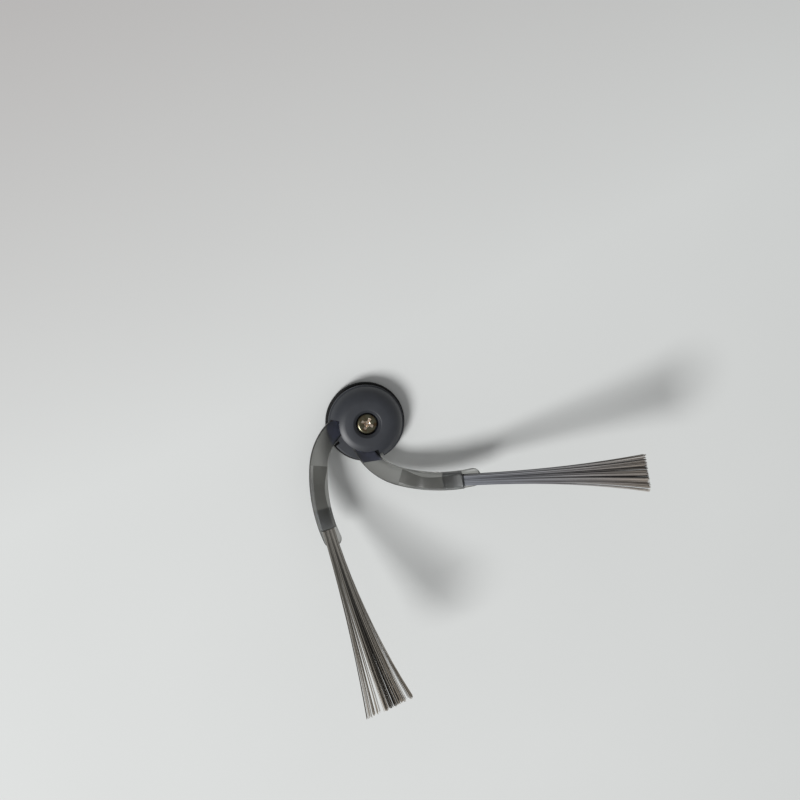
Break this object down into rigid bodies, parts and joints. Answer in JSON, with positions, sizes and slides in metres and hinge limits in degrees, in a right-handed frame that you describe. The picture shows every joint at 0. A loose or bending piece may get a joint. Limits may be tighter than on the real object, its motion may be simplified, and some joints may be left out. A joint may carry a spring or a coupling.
{
  "type": "robot vacuum side brush",
  "caption": "Side brush for a robot vacuum: low domed hub with a ribbed rim and a centre screw, and curved translucent arms that rise from one side and end in straight bristle tufts.",
  "frame": {"origin": "spin axis, in the plane of the hub's back where the drive socket opens", "axes": "+Z along the spin axis from the robot towards the screw head, +X midway between the two bristle tufts, +Y to the side of the arm that the other one follows"},
  "size_m": [0.0789, 0.1119, 0.0393],
  "materials": {
    "core_plastic": "dark blue-black moulded plastic",
    "smoky_rubber": "smoky translucent soft plastic, smooth satin",
    "screw_steel": "bronze-grey plated steel",
    "bristle_nylon": "grey-brown nylon filament"
  },
  "bodies": {
    "root": {"hub_core": "core_plastic", "soft_body": "smoky_rubber", "hub_screw": "screw_steel", "bristle_tuft_1": "bristle_nylon", "bristle_tuft_2": "bristle_nylon"}
  },
  "joints": []
}
